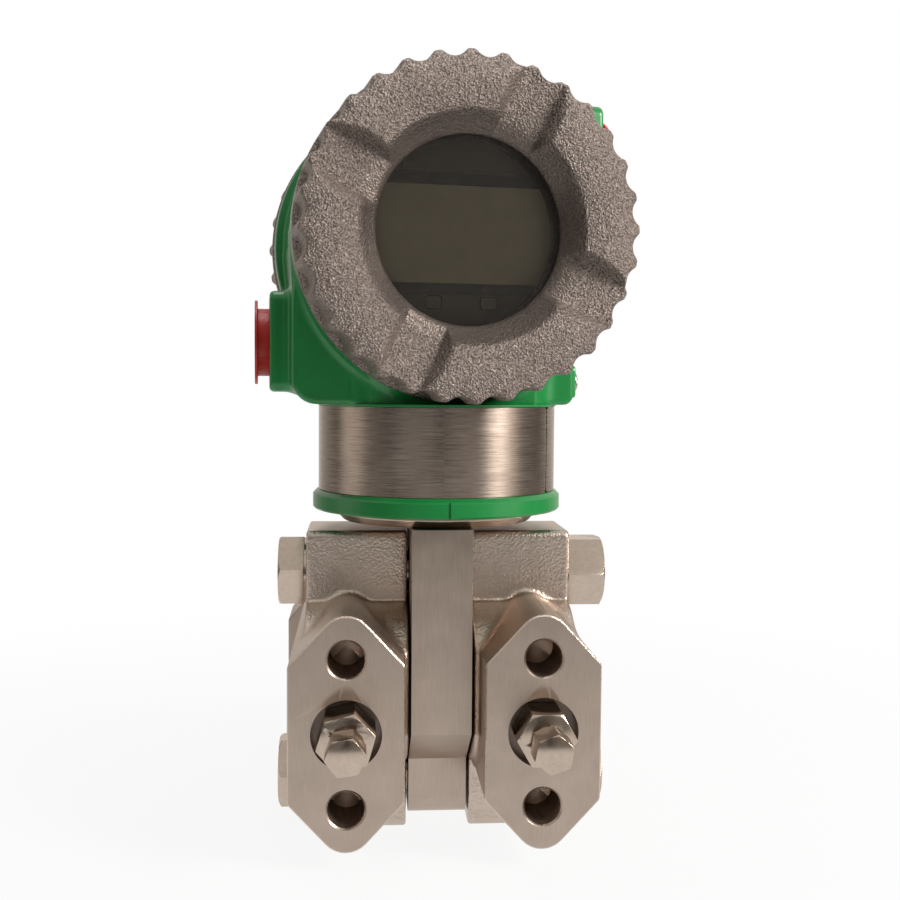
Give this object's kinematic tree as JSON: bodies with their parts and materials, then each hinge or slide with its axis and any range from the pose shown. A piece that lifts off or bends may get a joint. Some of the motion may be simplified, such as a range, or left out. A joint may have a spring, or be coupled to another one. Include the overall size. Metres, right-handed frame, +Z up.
{
  "type": "differential pressure transmitter",
  "caption": "Differential pressure transmitter: two ported process covers clamped to a sensor, with a turning housing, display window and screw covers.",
  "frame": {"origin": "centre of the four-hole bolt pattern on the two front process faces, in the plane of those faces", "axes": "+Z up along the neck, +Y through the transmitter from the front process faces to the rear ones, +X towards the low-pressure side"},
  "size_m": [0.1129, 0.148, 0.2238],
  "materials": {
    "cast_stainless": "fine sand-cast stainless steel, cleaned",
    "machined_stainless": "turned and milled stainless steel",
    "bright_steel": "bright hexagon bar",
    "green_paint": "green powder paint on an aluminium casting",
    "cast_aluminium": "bare sand-cast aluminium",
    "plate_steel": "thin stainless plate",
    "black_rubber": "black rubber",
    "seal_plastic": "white gasket plastic",
    "window_glass": "clear toughened glass",
    "dark_plastic": "dark moulded plastic",
    "display": "grey-green display glass",
    "key_plastic": "grey moulded key",
    "red_plastic": "soft red moulded plastic"
  },
  "bodies": {
    "transmitter": {"high_process_cover": "cast_stainless", "low_process_cover": "cast_stainless", "sensor_body": "machined_stainless", "high_process_gasket": "seal_plastic", "low_process_gasket": "seal_plastic", "high_diaphragm": "bright_steel", "low_diaphragm": "bright_steel", "process_bolts": "bright_steel", "process_nuts": "bright_steel", "high_vent_body": "bright_steel", "low_vent_body": "bright_steel", "high_process_adapter": "machined_stainless", "low_process_adapter": "machined_stainless", "adapter_gaskets": "seal_plastic", "adapter_bolts": "bright_steel", "neck_adapter": "machined_stainless", "neck_oring": "black_rubber"},
    "housing": {"housing": "green_paint", "data_plate": "plate_steel", "tag_plate": "plate_steel", "electronics_module": "dark_plastic", "display_bezel": "dark_plastic", "lcd_panel": "display", "terminal_block": "dark_plastic", "terminal_screws": "bright_steel", "ground_screw": "bright_steel"},
    "front_cover_seal": {"front_cover_oring": "black_rubber"},
    "front_cover": {"front_cover": "cast_aluminium", "window_glass": "window_glass", "window_retainer": "cast_aluminium"},
    "rear_cover_seal": {"rear_cover_oring": "black_rubber"},
    "rear_cover": {"rear_cover": "cast_aluminium"},
    "high_vent_ball": {"high_vent_ball": "bright_steel"},
    "high_vent_screw": {"high_vent_screw": "bright_steel"},
    "low_vent_ball": {"low_vent_ball": "bright_steel"},
    "low_vent_screw": {"low_vent_screw": "bright_steel"},
    "next_button": {"next_button": "key_plastic"},
    "enter_button": {"enter_button": "key_plastic"},
    "left_plug": {"left_conduit_plug": "red_plastic"},
    "right_plug": {"right_conduit_plug": "red_plastic"}
  },
  "joints": [
    {"name": "housing_turn", "type": "hinge", "parent": "transmitter", "child": "housing", "pos_m": [0, 0.048, 0], "axis": [0, 0, 1], "range_deg": [-180, 180]},
    {"name": "front_cover_travel", "type": "slide", "parent": "housing", "child": "front_cover_seal", "axis": [0.1613, -0.9869, 0], "range_m": [0, 0.011]},
    {"name": "front_cover_turn", "type": "hinge", "parent": "front_cover_seal", "child": "front_cover", "pos_m": [0, 0.048, 0.1376], "axis": [0.1613, -0.9869, 0], "range_deg": [0, 1980]},
    {"name": "rear_cover_travel", "type": "slide", "parent": "housing", "child": "rear_cover_seal", "axis": [-0.1613, 0.9869, 0], "range_m": [0, 0.011]},
    {"name": "rear_cover_turn", "type": "hinge", "parent": "rear_cover_seal", "child": "rear_cover", "pos_m": [0, 0.048, 0.1376], "axis": [-0.1613, 0.9869, 0], "range_deg": [0, 1980]},
    {"name": "high_vent_travel", "type": "slide", "parent": "transmitter", "child": "high_vent_ball", "axis": [0, -1, 0], "range_m": [0, 0.0016]},
    {"name": "high_vent_turn", "type": "hinge", "parent": "high_vent_ball", "child": "high_vent_screw", "pos_m": [-0.027, 0, 0], "axis": [0, -1, 0], "range_deg": [0, 540]},
    {"name": "low_vent_travel", "type": "slide", "parent": "transmitter", "child": "low_vent_ball", "axis": [0, -1, 0], "range_m": [0, 0.0016]},
    {"name": "low_vent_turn", "type": "hinge", "parent": "low_vent_ball", "child": "low_vent_screw", "pos_m": [0.027, 0, 0], "axis": [0, -1, 0], "range_deg": [0, 540]},
    {"name": "next_button_press", "type": "slide", "parent": "housing", "child": "next_button", "axis": [-0.1613, 0.9869, 0], "range_m": [0, 0.0008], "stiffness_N_per_m": 400, "springref_m": -0.0005},
    {"name": "enter_button_press", "type": "slide", "parent": "housing", "child": "enter_button", "axis": [-0.1613, 0.9869, 0], "range_m": [0, 0.0008], "stiffness_N_per_m": 400, "springref_m": -0.0005},
    {"name": "left_plug_pull", "type": "slide", "parent": "housing", "child": "left_plug", "axis": [-0.9967, -0.0816, 0], "range_m": [0, 0.018]},
    {"name": "right_plug_pull", "type": "slide", "parent": "housing", "child": "right_plug", "axis": [0.9708, 0.2399, 0], "range_m": [0, 0.018]}
  ],
  "couplings": [
    {"joint": "front_cover_travel", "follows": "front_cover_turn", "m_per_rad": 0.0003183},
    {"joint": "rear_cover_travel", "follows": "rear_cover_turn", "m_per_rad": 0.0003183},
    {"joint": "high_vent_travel", "follows": "high_vent_turn", "m_per_rad": 0.0001687},
    {"joint": "low_vent_travel", "follows": "low_vent_turn", "m_per_rad": 0.0001687}
  ]
}
